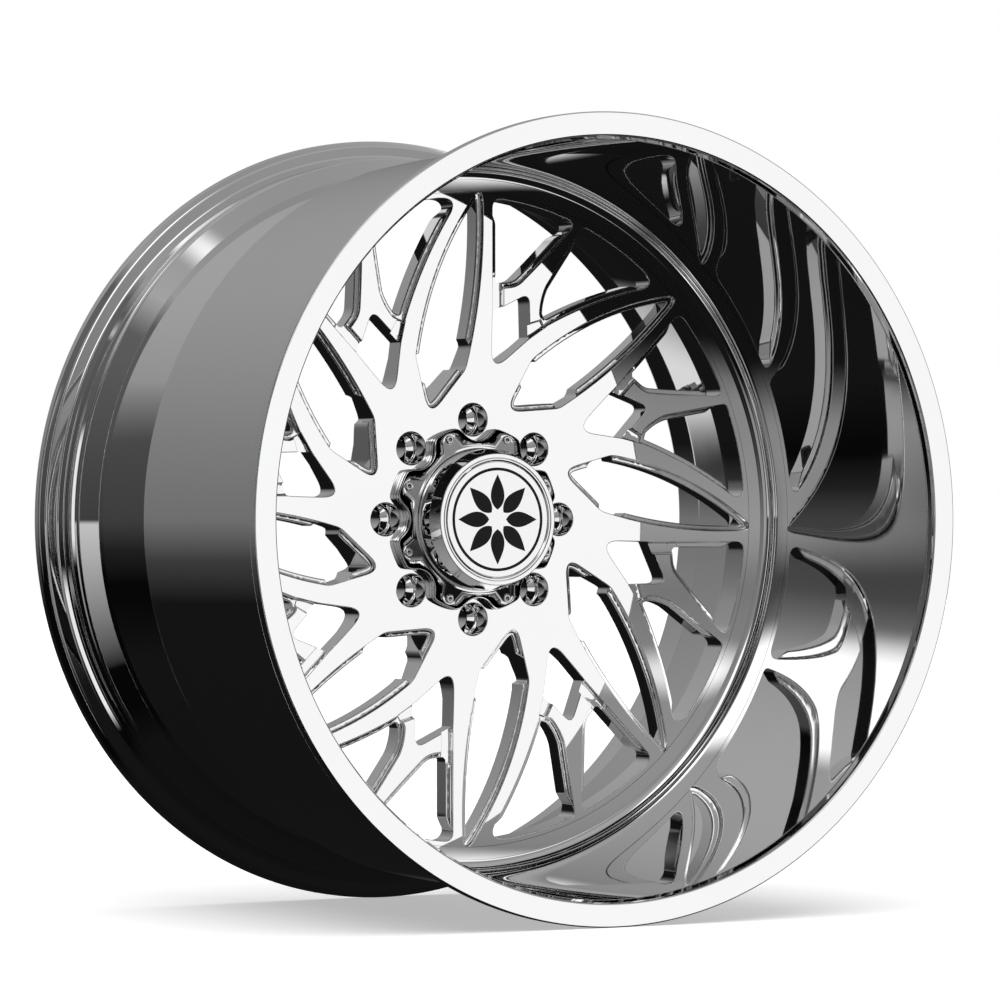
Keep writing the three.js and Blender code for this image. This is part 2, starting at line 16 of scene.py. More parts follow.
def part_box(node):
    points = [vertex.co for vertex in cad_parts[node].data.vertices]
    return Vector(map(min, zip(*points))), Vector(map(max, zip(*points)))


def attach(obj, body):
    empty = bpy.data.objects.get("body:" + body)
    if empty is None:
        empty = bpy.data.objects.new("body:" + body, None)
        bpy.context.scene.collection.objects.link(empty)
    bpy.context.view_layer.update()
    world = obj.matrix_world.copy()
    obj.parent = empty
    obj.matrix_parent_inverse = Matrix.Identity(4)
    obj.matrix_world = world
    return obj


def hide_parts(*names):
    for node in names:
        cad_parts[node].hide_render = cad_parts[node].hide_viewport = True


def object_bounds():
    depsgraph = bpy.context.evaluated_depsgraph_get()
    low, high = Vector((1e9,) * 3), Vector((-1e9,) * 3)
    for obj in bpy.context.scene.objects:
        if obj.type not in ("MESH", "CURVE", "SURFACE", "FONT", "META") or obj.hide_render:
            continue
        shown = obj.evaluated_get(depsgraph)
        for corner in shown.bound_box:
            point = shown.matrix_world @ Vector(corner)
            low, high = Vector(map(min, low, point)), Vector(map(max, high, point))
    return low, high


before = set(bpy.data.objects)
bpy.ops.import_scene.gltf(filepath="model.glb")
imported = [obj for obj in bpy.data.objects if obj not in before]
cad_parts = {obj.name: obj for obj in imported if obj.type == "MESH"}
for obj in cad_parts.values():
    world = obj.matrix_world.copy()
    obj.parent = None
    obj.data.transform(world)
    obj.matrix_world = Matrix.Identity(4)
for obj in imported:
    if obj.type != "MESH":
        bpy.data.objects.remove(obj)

cad_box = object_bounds()
MM = 0.001
print("solids:", len(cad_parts))
print("box:", [tuple(round(v, 4) for v in corner) for corner in cad_box])

# %% [markdown]
# ## Key places
# The wheel axis is Y and the front is -Y. The sizes are in millimetres, as on a workshop
# drawing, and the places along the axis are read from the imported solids, so that a new pack
# carries every piece along.

# %% Key places
FRONT_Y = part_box("rim_barrel")[0].y / MM
REAR_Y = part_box("rim_barrel")[1].y / MM
FACE_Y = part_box("spoke_centre")[0].y / MM
PAD_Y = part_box("spoke_centre")[1].y / MM
CAP_FRONT_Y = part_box("cap_body")[0].y / MM
PAD_DEPTH = PAD_Y - FACE_Y
FLOOR_Z = cad_box[0].z
SECTORS = 8
SEAM_R = 271.0
HUB_BORE_R = 62.6
BOLT_CIRCLE_R = 82.55
GAP = 0.3
print(f"front {FRONT_Y:.1f}, face {FACE_Y:.1f}, pad {PAD_Y:.1f}, cap front {CAP_FRONT_Y:.1f}")

# %% [markdown]
# ## Meshes with mirror-clean shading
# A mirror finish shows every wrong normal. So each mesh here is made of groups of faces that
# shade as one surface, and a corner's normal is the average of its own group, weighted by area.
# Large flat or conical faces then stay exact and the small rounded edges take up the turn.

# %% Mesh helpers
def unit(v):
    return v / np.maximum(np.linalg.norm(v, axis=-1, keepdims=True), 1e-12)


def build(name, points, faces, groups, finish, flat=None):
    """A mesh from points in millimetres, with normals smoothed inside each group of faces.
    flat(points) marks points that keep the straight front normal of group 0."""
    points = np.asarray(points, float)
    _, first, back = np.unique(
        np.round(points / 0.004).astype(np.int64), axis=0, return_index=True, return_inverse=True
    )
    points, back = points[first], back.ravel()
    clean, kept = [], []
    for face, group in zip(faces, groups):
        ring = [int(back[i]) for i in face]
        ring = [v for i, v in enumerate(ring) if v != ring[i - 1]]
        if len(set(ring)) == len(ring) > 2:
            clean.append(ring)
            kept.append(group)
    mesh = bpy.data.meshes.new(name)
    mesh.from_pydata((points * MM).tolist(), [], clean)
    mesh.polygons.foreach_set("use_smooth", [True] * len(mesh.polygons))
    count = len(mesh.polygons)
    normals, areas = np.zeros(count * 3), np.zeros(count)
    mesh.polygons.foreach_get("normal", normals)
    mesh.polygons.foreach_get("area", areas)
    sizes = np.zeros(count, int)
    mesh.polygons.foreach_get("loop_total", sizes)
    corners = np.zeros(len(mesh.loops), int)
    mesh.loops.foreach_get("vertex_index", corners)
    owner = np.repeat(np.arange(count), sizes)
    kept = np.asarray(kept)
    _, place = np.unique(np.stack([corners, kept[owner]], 1), axis=0, return_inverse=True)
    place = place.ravel()
    total = np.zeros((place.max() + 1, 3))
    np.add.at(total, place, (normals.reshape(-1, 3) * areas[:, None])[owner])
    smooth = unit(total)[place]
    if flat is not None:
        marked = flat(points)[corners] & (kept[owner] == 0)
        smooth[marked] = (0, -1, 0)
    mesh.normals_split_custom_set(smooth.tolist())
    mesh.materials.append(finish)
    made = bpy.data.objects.new(name, mesh)
    bpy.context.collection.objects.link(made)
    return made


def at_y(loop, y):
    """A flat (x, z) loop stood up in space at y, one value or one for each point."""
    return np.stack([loop[:, 0], np.full(len(loop), y), loop[:, 1]], 1)


def bridge(points, faces, groups, loops, group, crisp=False):
    """Adds a strip of faces between each loop and the next, all loops having the same count.
    The strips shade as one surface, or as one each when they are crisp."""
    base, n = len(points), len(loops[0])
    for k in range(len(loops) - 1):
        for i in range(n):
            j = (i + 1) % n
            a, b = base + k * n, base + (k + 1) * n
            faces.append((a + i, a + j, b + j, b + i))
            groups.append(group + k if crisp else group)
    return np.concatenate([points] + loops)


def tell(*made):
    for o in made:
        o.data.calc_loop_triangles()
        print(f"{o.name}: {len(o.data.loop_triangles)} triangles")


# %% [markdown]
# ## Turned pieces
# Most of the wheel is turned on a lathe, so one helper spins a profile about the wheel axis.
# A profile is a list of corners with a rounding radius each. Two straight runs that meet at
# less than 30 degrees shade as one surface, and a sharper corner stays crisp.

# %% Lathe helpers
def rounded(corners, steps=6):
    """A closed profile of (radius, y, round) corners, with arcs in place of the corners."""
    points = []
    for i, (r, y, bend) in enumerate(corners):
        here = np.array((r, y), float)
        before = np.array(corners[i - 1][:2], float) - here
        after = np.array(corners[(i + 1) % len(corners)][:2], float) - here
        if bend <= 0:
            points.append(here)
            continue
        reach_in, reach_out = np.linalg.norm(before), np.linalg.norm(after)
        before, after = before / reach_in, after / reach_out
        half = math.acos(np.clip(before @ after, -1, 1)) / 2
        reach = min(bend / math.tan(half), 0.49 * reach_in, 0.49 * reach_out)
        radius = reach * math.tan(half)
        middle = here + unit(before + after) * radius / math.sin(half)
        a, b = here + before * reach - middle, here + after * reach - middle
        sweep = math.acos(np.clip(a @ b / radius**2, -1, 1))
        for k in range(steps + 1):
            t = k / steps
            spoke = (math.sin((1 - t) * sweep) * a + math.sin(t * sweep) * b) / math.sin(sweep)
            points.append(middle + spoke)
    return np.array(points)


def turned(profile, steps):
    """Points, faces and groups of a closed profile spun about the wheel axis."""
    after = np.roll(profile, -1, 0)
    area = np.sum(profile[:, 0] * after[:, 1] - after[:, 0] * profile[:, 1])
    profile = profile[::-1] if area > 0 else profile
    n = len(profile)
    angle = np.arange(steps) * 2 * math.pi / steps
    points = np.stack([
        np.outer(np.sin(angle), profile[:, 0]),
        np.broadcast_to(profile[:, 1], (steps, n)),
        np.outer(np.cos(angle), profile[:, 0]),
    ], -1).reshape(-1, 3)
    run = unit(np.roll(profile, -1, 0) - profile)
    group = np.cumsum([run[i] @ run[i - 1] < math.cos(math.radians(30)) for i in range(n)])
    faces, groups = [], []
    for s in range(steps):
        here, after = s * n, (s + 1) % steps * n
        for i in range(n):
            j = (i + 1) % n
            faces.append((here + i, here + j, after + j, after + i))
            groups.append(int(group[i]))
    return points, faces, groups


def lathe(name, profile, steps, finish):
    return build(name, *turned(np.asarray(profile, float), steps), finish)


# %% [markdown]
# ## Shader maths
# A finish is easier to read as arithmetic than as a web of nodes. `Field` wraps a socket, so
# that sums, differences and products on it add Math nodes, and `Finish.node` adds any other node.

# %% Shader helpers
class Field:
    def __init__(self, finish, socket):
        self.finish, self.socket = finish, socket

    def math(self, operation, a, b):
        return self.finish.node("ShaderNodeMath", {"operation": operation}, {0: a, 1: b})

    def __add__(self, other):
        return self.math("ADD", self, other)

    def __sub__(self, other):
        return self.math("SUBTRACT", self, other)

    def __rsub__(self, other):
        return self.math("SUBTRACT", other, self)

    def __mul__(self, other):
        return self.math("MULTIPLY", self, other)

    __radd__ = __add__
    __rmul__ = __mul__


class Finish:
    """A node material: constants go on the shader's own sockets, fields are linked to them."""

    def __init__(self, name, shader="ShaderNodeBsdfPrincipled", **constants):
        self.material = bpy.data.materials.new(name)
        self.material.use_nodes = True
        self.tree = self.material.node_tree
        self.tree.nodes.clear()
        self.shader = self.tree.nodes.new(shader)
        self.output = self.tree.nodes.new("ShaderNodeOutputMaterial")
        self.tree.links.new(self.shader.outputs[0], self.output.inputs["Surface"])
        for socket, value in constants.items():
            self.shader.inputs[socket.replace("_", " ")].default_value = value
        self.place = self.node("ShaderNodeTexCoord", out="Object")

    def node(self, kind, settings=None, inputs=None, out=0):
        made = self.tree.nodes.new(kind)
        for key, value in (settings or {}).items():
            setattr(made, key, value)
        for key, value in (inputs or {}).items():
            if isinstance(value, Field):
                self.tree.links.new(value.socket, made.inputs[key])
            else:
                made.inputs[key].default_value = value
        return Field(self, made.outputs[out])

    def noise(self, scale, detail=3.0, roughness=0.5, place=None):
        sockets = {"Vector": place or self.place, "Scale": scale, "Detail": detail, "Roughness": roughness}
        return self.node("ShaderNodeTexNoise", None, sockets)

    def stretched(self, *scale):
        return self.node("ShaderNodeMapping", None, {"Vector": self.place, "Scale": scale})

    def radius(self):
        """Distance from the wheel axis, in metres."""
        flat = self.node("ShaderNodeVectorMath", {"operation": "MULTIPLY"}, {0: self.place, 1: (1, 0, 1)})
        return self.node("ShaderNodeVectorMath", {"operation": "LENGTH"}, {0: flat}, out="Value")

    def mix(self, factor, a, b):
        settings = {"data_type": "RGBA"}
        return self.node("ShaderNodeMix", settings, {0: factor, 6: a, 7: b}, out=2)

    def bump(self, height, distance, strength=1.0):
        sockets = {"Height": height, "Distance": distance, "Strength": strength}
        return self.node("ShaderNodeBump", None, sockets)

    def veil(self, share):
        """Lets what lies behind show through where share is low."""
        clear = self.tree.nodes.new("ShaderNodeBsdfTransparent")
        mixed = self.tree.nodes.new("ShaderNodeMixShader")
        self.tree.links.new(share.socket, mixed.inputs[0])
        self.tree.links.new(clear.outputs[0], mixed.inputs[1])
        self.tree.links.new(self.shader.outputs[0], mixed.inputs[2])
        self.tree.links.new(mixed.outputs[0], self.output.inputs["Surface"])
        return self.material

    def feed(self, **fields):
        for socket, field in fields.items():
            self.tree.links.new(field.socket, self.shader.inputs[socket.replace("_", " ")])
        return self.material


def grey(value, warm=0.0):
    return (value + warm, value, value - warm, 1.0)


# %% [markdown]
# ## Finishes
# Plated metal is almost a perfect mirror, but never quite: polishing leaves slow waves, faint
# haze where a cloth has rubbed, and hairlines too fine to see one by one. Each of those is a
# noise at its own size. The other finishes are brushed plate, bright steel, rubber and moulded
# plastic.

# %% Mirror finishes
def mirror(name, tone, rough):
    finish = Finish(name, Metallic=1.0, Specular_Tint=(1, 1, 1, 1))
    haze = finish.noise(9.0, 4.0, 0.55)
    rub = finish.noise(1.0, 6.0, 0.7, finish.stretched(160, 30, 160))
    waves = finish.noise(26.0, 1.0, 0.4)
    return finish.feed(
        Base_Color=finish.mix(haze, grey(tone, -0.004), grey(tone - 0.035, 0.002)),
        Roughness=rough + haze * haze * 0.02 + rub * 0.012,
        Normal=finish.bump(waves, 0.00006, 0.35),
    )


mirror_rim = mirror("plated_rim_mirror", 0.9, 0.008)
mirror_cap = mirror("plated_cap_mirror", 0.88, 0.012)

# %% Other finishes
def brushed(name, tone, rough, line_scale):
    """Metal brushed in circles round the wheel axis, as a lathe leaves it."""
    finish = Finish(name, Metallic=1.0, Anisotropic=0.35)
    sockets = {"W": finish.radius(), "Scale": line_scale, "Detail": 4.0}
    lines = finish.node("ShaderNodeTexNoise", {"noise_dimensions": "1D"}, sockets)
    cloud = finish.noise(22.0)
    return finish.feed(
        Base_Color=finish.mix(lines, grey(tone), grey(tone - 0.07)),
        Roughness=rough + lines * 0.06 + cloud * 0.03,
        Normal=finish.bump(lines, 0.00004, 0.5),
    )


def plain_metal(name, colour, rough):
    finish = Finish(name, Metallic=1.0)
    fine = finish.noise(700.0, 4.0)
    cloud = finish.noise(60.0)
    dark = tuple(0.82 * c for c in colour[:3]) + (1.0,)
    return finish.feed(
        Base_Color=finish.mix(cloud, colour, dark),
        Roughness=rough + fine * 0.1 + cloud * 0.06,
        Normal=finish.bump(fine, 0.00002, 0.4),
    )


def moulded(name, colour, rough, grain, depth, shine=0.4):
    finish = Finish(name, Specular_IOR_Level=shine)
    pebble = finish.noise(grain, 5.0, 0.6)
    cloud = finish.noise(40.0)
    light = tuple(1.7 * c for c in colour[:3]) + (1.0,)
    return finish.feed(
        Base_Color=finish.mix(cloud, colour, light),
        Roughness=rough + pebble * 0.15,
        Normal=finish.bump(pebble, depth, 0.6),
    )


satin_disc = brushed("satin_brushed_plate", 0.93, 0.1, 2600.0)
screw_steel = plain_metal("bright_screw_steel", grey(0.82), 0.07)
nickel = plain_metal("nickel_plated_brass", (0.72, 0.715, 0.7, 1), 0.14)
brass = plain_metal("turned_brass", (0.78, 0.58, 0.27, 1), 0.22)
spring_steel = plain_metal("plain_bright_steel", grey(0.62), 0.25)
rubber = moulded("matt_black_rubber", grey(0.022), 0.62, 900.0, 0.00008)
plastic = moulded("matt_black_plastic", grey(0.028), 0.42, 1500.0, 0.00004)
inlay_black = moulded("dark_enamel", grey(0.009), 0.3, 300.0, 0.00001, 0.15)
print("finishes:", len(bpy.data.materials))

# %% [markdown]
# ## Rim barrel
# The barrel is one turned ring: a flat lip, the flange that holds the tyre bead, the bead seat,
# a long plateau that steps down into the drop centre, then up again to the rear bead seat.
# Inside it is the dish, which ends in a round fillet on the spoke face. A profile spun in many
# steps gives clean mirror bands. The rubber and washer of the valve cover its hole in the barrel.

# %% Rim barrel
ROUND_STEPS = 360
F, R = FRONT_Y, REAR_Y
barrel_profile = rounded([
    (303.6, F, 1.5), (322.5, F, 1.1), (322.5, F + 9, 3), (319.5, F + 12, 5),
    (308.8, F + 15, 5), (304.8, F + 20, 12), (303, F + 42, 8), (300.5, F + 236, 1.5),
    (287.5, F + 252, 5), (284, F + 268, 8), (292, F + 336, 1), (305, F + 347, 1.6),
    (305.6, F + 350.5, 2), (303, F + 355, 2), (303, F + 359, 1.5), (304.6, F + 363, 2),
    (303.4, F + 368, 2), (305, R - 20, 5), (308.8, R - 15.5, 4), (318.5, R - 13.5, 4),
    (322.5, R - 8, 4), (322.5, R, 1.1), (304.8, R, 1), (299.5, R - 6, 5),
    (298, F + 352, 8), (286.5, F + 337, 12), (277.5, F + 276, 10), (277.5, F + 262, 6),
    (SEAM_R + GAP, FACE_Y + 26, 0.4), (SEAM_R + GAP, FACE_Y, 0),
    (SEAM_R + GAP + 20, FACE_Y, 20), (300.8, F + 6.5, 3), (302.9, F + 2.8, 1.2),
], 9)
rim = lathe("rim_barrel_polished", barrel_profile, ROUND_STEPS, mirror_rim)
tell(rim)

# %% [markdown]
# ## Window outlines
# Eight sectors share one drawing: a swept leaf, two outer windows under the rim and a small
# inner window between the branches. An outline is a list of corners, each with its rounding and
# the bow of the side that follows, so that a real drawing's few numbers give smooth curves.

# %% Window outlines
WINDOW_R = 267.0


def on_rim(x, z, turn=0.0):
    """A point on the circle of the outer windows, in the direction (x, z)."""
    a = math.atan2(x, z) + math.radians(turn)
    return WINDOW_R * math.sin(a), WINDOW_R * math.cos(a)


def rim_bow(a, b):
    return WINDOW_R - math.sqrt(WINDOW_R**2 - math.dist(a, b) ** 2 / 4)


def bowed(side, t):
    """The point at t along a bowed side, given as its start, its handle and its end."""
    return (1 - t) ** 2 * side[0] + 2 * t * (1 - t) * side[1] + t * t * side[2]


def outline(corners, spacing=2.6, corner_steps=9):
    """A closed clockwise outline through (x, z, round, bow) corners, as an array of points."""
    places = [np.array(c[:2], float) for c in corners]
    sides = []
    for i, (_, _, _, bow) in enumerate(corners):
        a, b = places[i], places[(i + 1) % len(corners)]
        left = unit(np.array((a[1] - b[1], b[0] - a[0])))
        sides.append((a, (a + b) / 2 + 2 * bow * left, b))
    trims = []
    for i, corner in enumerate(corners):
        before, after = sides[i - 1], sides[i]
        inward, onward = unit(before[1] - before[2]), unit(after[1] - after[0])
        reach = corner[2] / math.tan(math.acos(np.clip(inward @ onward, -1, 1)) / 2)
        trims.append([min(reach / math.dist(s[0], s[2]), 0.48) for s in (before, after)])
    points = []
    for i in range(len(corners)):
        bend = (bowed(sides[i - 1], 1 - trims[i][0]), places[i], bowed(sides[i], trims[i][1]))
        points += [bowed(bend, k / corner_steps) for k in range(corner_steps + 1)]
        start, stop = trims[i][1], 1 - trims[(i + 1) % len(corners)][0]
        count = max(1, round(math.dist(sides[i][0], sides[i][2]) * (stop - start) / spacing))
        points += [bowed(sides[i], start + (stop - start) * k / count) for k in range(1, count)]
    return np.array(points)


a_left, a_right = on_rim(19, 266.3), on_rim(99.5, 247.8)
b_left, b_right = on_rim(106, 245), on_rim(-11.8, 266.8, 45)
leaf = outline([(8.6, 278, 6, 6.8), (-7, 124.2, 18, 0), (-41.1, 84.7, 8.8, 0), (-54, 134.3, 20, 10.8)])
outer_a = outline([
    (*a_left, 8, rim_bow(a_left, a_right)), (*a_right, 6.5, 0.8), (43, 193.8, 22, 0.3), (19.1, 191.2, 2, 0),
])
outer_b = outline([
    (*b_left, 5, rim_bow(b_left, b_right)), (*b_right, 10, -4.6), (69, 160.5, 3, 0),
    (64, 170.5, 6, 1.5), (70.2, 195, 30, 0.2),
])
inner = outline([(19, 171.9, 1.5, 0), (54, 188.3, 6, 0), (55, 151.3, 1.5, 0), (18.2, 122.8, 9, 0.3)])
notches = [
    np.array([(19.1, 203), (29.6, 203), (29.6, 168), (19.1, 164)], float),
    np.array([(50.4, 162.4), (67.1, 167.2), (70.8, 160.9), (50.4, 148.2)], float),
]
print("points per sector:", sum(len(w) for w in (leaf, outer_a, outer_b, inner)))

# %% [markdown]
# ## The milled edge of a window
# Round the leaf and the outer windows the cutter leaves a ledge three millimetres down, with a
# soft corner above and below it. So each window gets a set of rings, one for each step of that
# edge: (distance in from the outline, depth below the face). Where the ledge fades out, the
# rings close up on the outline and only the rounded corner is left. The two notches beside the
# inner window are cut the same way, with steps of their own.

# %% Window rings
LEDGE = np.array([
    (-0.6, 0.0), (-0.35, 0.04), (-0.12, 0.2), (0.06, 0.6), (0.4, 2.0), (0.7, 2.6), (1.25, 2.95),
    (3.3, 3.05), (3.95, 3.2), (4.4, 3.55), (4.6, 4.2),
])
ROUND_ROWS = 4  # the rows that round the upper corner, before the ledge itself
EDGE_T, ROUND_DEPTH = LEDGE[ROUND_ROWS - 1]
NOTCH = np.array([(-0.5, 0.0), (-0.2, 0.12), (0.05, 0.6), (0.5, 3.2), (1.0, 4.2), (1.8, 4.5)])
BACK = np.array([
    (HUB_BORE_R, PAD_Y), (100, PAD_Y), (114, PAD_Y - 12), (150, FACE_Y + 19), (259, FACE_Y + 19),
    (SEAM_R, FACE_Y + 26),
])
BAND_START, BAND_END, BAND_FADE = 121.5, 147.5, 2.5
LEDGE_END_R, LEDGE_FADE = 256.0, 9.0


def turn(points, sector):
    a = math.radians(360 / SECTORS * sector)
    return points @ np.array([[math.cos(a), -math.sin(a)], [math.sin(a), math.cos(a)]])


def distance_to(loop, points):
    """Distance from each point to a closed outline."""
    a, b = loop[None], np.roll(loop, -1, 0)[None]
    p = points[:, None]
    along = np.clip(((p - a) * (b - a)).sum(-1) / np.maximum(((b - a) ** 2).sum(-1), 1e-9), 0, 1)
    return np.linalg.norm(p - a - along[..., None] * (b - a), axis=-1).min(1)


def inside(loop, points):
    a, b = loop[None], np.roll(loop, -1, 0)[None]
    x, z = points[:, 0, None], points[:, 1, None]
    spans = (a[..., 1] > z) != (b[..., 1] > z)
    rise = np.where(b[..., 1] == a[..., 1], 1, b[..., 1] - a[..., 1])
    at = a[..., 0] + (z - a[..., 1]) * (b[..., 0] - a[..., 0]) / rise
    return (spans & (x < at)).sum(1) % 2 == 1


def leaf_share(r):
    """How much of the ledge there is at radius r of a leaf: none in the band beside the branches."""
    band = np.clip((r - BAND_START) / BAND_FADE, 0, 1) * np.clip((BAND_END - r) / BAND_FADE, 0, 1)
    return 1 - band


def outer_share(r):
    """The ledge of an outer window fades out before it meets the rim."""
    return np.clip((LEDGE_END_R - r) / LEDGE_FADE, 0, 1) ** 0.8


def no_share(r):
    return np.zeros_like(r)


def full_share(r):
    return np.ones_like(r)


def offset(loop, t, share):
    """The outline moved in by t where there is a full ledge, and less where it fades."""
    along = unit(np.roll(loop, -1, 0) - np.roll(loop, 1, 0))
    normal = np.stack([along[:, 1], -along[:, 0]], 1)
    part = share(np.linalg.norm(loop, axis=1))
    step = np.where(t > EDGE_T, EDGE_T + (t - EDGE_T) * part, t)
    moved = loop + normal * step[:, None]
    clear = distance_to(loop, moved) > 0.96 * np.abs(step) - 1e-4
    moved = moved[clear]
    return moved[np.linalg.norm(moved - np.roll(moved, -1, 0), axis=1) > 0.02]


def split_at(loop, radii):
    """The loop with a point added wherever it crosses one of the radii."""
    out = []
    for p, q in zip(loop, np.roll(loop, -1, 0)):
        out.append(p)
        cuts = []
        for r in radii:
            if (np.linalg.norm(p) - r) * (np.linalg.norm(q) - r) < 0:
                lo, hi = 0.0, 1.0
                for _ in range(24):
                    mid = (lo + hi) / 2
                    same = (np.linalg.norm(p + mid * (q - p)) - r) * (np.linalg.norm(p) - r) > 0
                    lo, hi = (mid, hi) if same else (lo, mid)
                cuts.append(lo)
        out += [p + t * (q - p) for t in sorted(cuts) if 0.02 < t < 0.98]
    return np.array(out)


def subdivided(loop, spacing=1.5):
    """A straight-sided loop with points added along its sides."""
    sides = [(a, b, max(2, int(math.dist(a, b) / spacing))) for a, b in zip(loop, np.roll(loop, -1, 0))]
    return np.concatenate([np.linspace(a, b, count, endpoint=False) for a, b, count in sides])


windows = [(leaf, leaf_share), (outer_a, outer_share), (outer_b, outer_share), (inner, no_share)]
rings, through = [], []  # each a (loop, depth) pair
for loop, share in windows:
    edge = LEDGE[:ROUND_ROWS] if share is no_share else LEDGE
    rings += [(offset(loop, t, share), sunk) for t, sunk in edge[:-1]]
    lowest, sunk = edge[-1]
    through.append((split_at(offset(loop, lowest, share), BACK[1:-1, 0]), sunk))
notch_rings = [(offset(subdivided(loop), t, full_share), None) for loop in notches for t in NOTCH[:, 0]]
print("rings per sector:", len(rings) + len(notch_rings))

# %% [markdown]
# ## The face as one sheet
# All rings of all sectors go into one constrained triangulation of the flat face, which keeps
# every ring as a crease. Then each point sinks to its depth, and the walls of the windows hang
# from the edge that is left round each opening. This gives exact flat faces and crisp edges,
# which a mirror needs and a chain of cutting operations doesn't give.

# %% Depth of the face
def signed(loop, points):
    d = distance_to(loop, points)
    return np.where(inside(loop, points), d, -d)


def near_sectors(points):
    """The points as the drawing of one sector sees them, for each sector they may lie in."""
    turns = np.round(np.degrees(np.arctan2(points[:, 0], points[:, 1])) / (360 / SECTORS)).astype(int)
    for shift in (-1, 0, 1):
        local = points.copy()
        for k in np.unique(turns):
            local[turns == k] = turn(points[turns == k], -(k + shift))
        yield local


LEAST_SHARE = 0.03  # a smaller share of the ledge counts as none


def window_depth(points):
    """Depth below the face where two creases cross, from the windows near each point."""
    depth = np.zeros(len(points))
    r = np.linalg.norm(points, axis=1)
    for local in near_sectors(points):
        for loop, share in windows:
            t, part = signed(loop, local), share(r)
            stretched = EDGE_T + (t - EDGE_T) / np.maximum(part, LEAST_SHARE)
            top = np.interp(np.where(t > EDGE_T, stretched, t), *LEDGE.T)
            depth = np.maximum(depth, np.where(part < LEAST_SHARE, np.minimum(top, ROUND_DEPTH), top))
    return depth


def notch_depth(points):
    depth = np.zeros(len(points))
    for local in near_sectors(points):
        for loop in notches:
            depth = np.maximum(depth, np.interp(signed(loop, local), *NOTCH.T))
    return depth


def clockwise(loop):
    after = np.roll(loop, -1, 0)
    area = np.sum(loop[:, 0] * after[:, 1] - after[:, 0] * loop[:, 1])
    return loop if area < 0 else loop[::-1]


def circle(radius, steps, centre=(0.0, 0.0)):
    a = np.arange(steps) * 2 * math.pi / steps
    return np.stack([centre[0] + radius * np.sin(a), centre[1] + radius * np.cos(a)], 1)


def sheet_of(outer, holes, creases, merge):
    """Triangles of the region inside outer and outside holes. Each hole or crease is a pair of a
    loop and its depth. Returns flat points, their depths (nan where not given) and triangles."""
    points, edges, faces, depths = [], [], [], []
    for loop, sunk in [(outer, 0.0)] + holes:
        start = len(points)
        points += [Vector(p) for p in loop[::-1]]
        depths += [sunk] * len(loop)
        faces.append(list(range(start, len(points))))
    for loop, sunk in creases:
        start, n = len(points), len(loop)
        points += [Vector(p) for p in loop]
        depths += [sunk] * n
        edges += [(start + i, start + (i + 1) % n) for i in range(n)]
    flat, _, triangles, sources, _, owners = delaunay_2d_cdt(points, edges, faces, 0, merge, True)
    kept = [t for t, owner in zip(triangles, owners) if list(owner) == [0]]
    given = []
    for source in sources:
        known = [depths[i] for i in source if depths[i] is not None]
        given.append(min(known) if known else math.nan)
    return np.array([tuple(p) for p in flat]), np.array(given), kept


LUG_R, LUG_DEPTH, LUG_STEPS = 13.5, 18.0, 64
LUG_EDGE = [(0.8, 0.0), (0.45, 0.06), (0.15, 0.27)]  # (beyond the hole, depth) of its rounded edge
lug_centres = [turn(np.array([[0.0, BOLT_CIRCLE_R]]), s)[0] for s in range(SECTORS)]
creases, holes = [], []
for s in range(SECTORS):
    creases += [(turn(loop, s), sunk) for loop, sunk in rings + notch_rings]
    holes += [(turn(loop, s), sunk) for loop, sunk in through]
for c in lug_centres:
    creases += [(circle(LUG_R + r, LUG_STEPS, c), sunk) for r, sunk in LUG_EDGE]
    holes.append((circle(LUG_R, LUG_STEPS, c), 0.7))
holes.append((circle(HUB_BORE_R, 128), 0.0))
flat, depth, front = sheet_of(circle(SEAM_R, ROUND_STEPS), holes, creases, 0.002)
crossing = np.isnan(depth)
depth[crossing] = window_depth(flat[crossing])
depth = np.maximum(depth, notch_depth(flat))
print("face sheet:", len(flat), "points,", int(crossing.sum()), "crossings,", len(front), "triangles")

# %% Walls, back and lug seats
FRONT_GROUP, WALL_GROUP, BACK_GROUP, SEAT_GROUP = 0, 1, 3, 10
points = at_y(flat, FACE_Y + depth)
faces = [tuple(t) for t in front]
groups = [FRONT_GROUP] * len(faces)
one_way = {(t[i], t[(i + 1) % 3]) for t in front for i in range(3)}
rim_edges = [e for e in one_way if e[::-1] not in one_way]
lug_points = set()
for c in lug_centres:
    lug_points.update(np.nonzero(np.linalg.norm(flat - c, axis=1) < LUG_R + 0.05)[0].tolist())
follow = dict(rim_edges)
loops = []
while follow:
    start, here = next(iter(follow.items()))
    loop = [start]
    del follow[start]
    while here != start and here in follow:
        loop.append(here)
        here = follow.pop(here)
    loops.append(loop)
radius_of = np.linalg.norm(flat, axis=1)
back_y = np.interp(radius_of, *BACK.T)
back_holes = []
low = {}


def lower(i):
    if i not in low:
        low[i] = len(points) + len(low)
    return low[i]


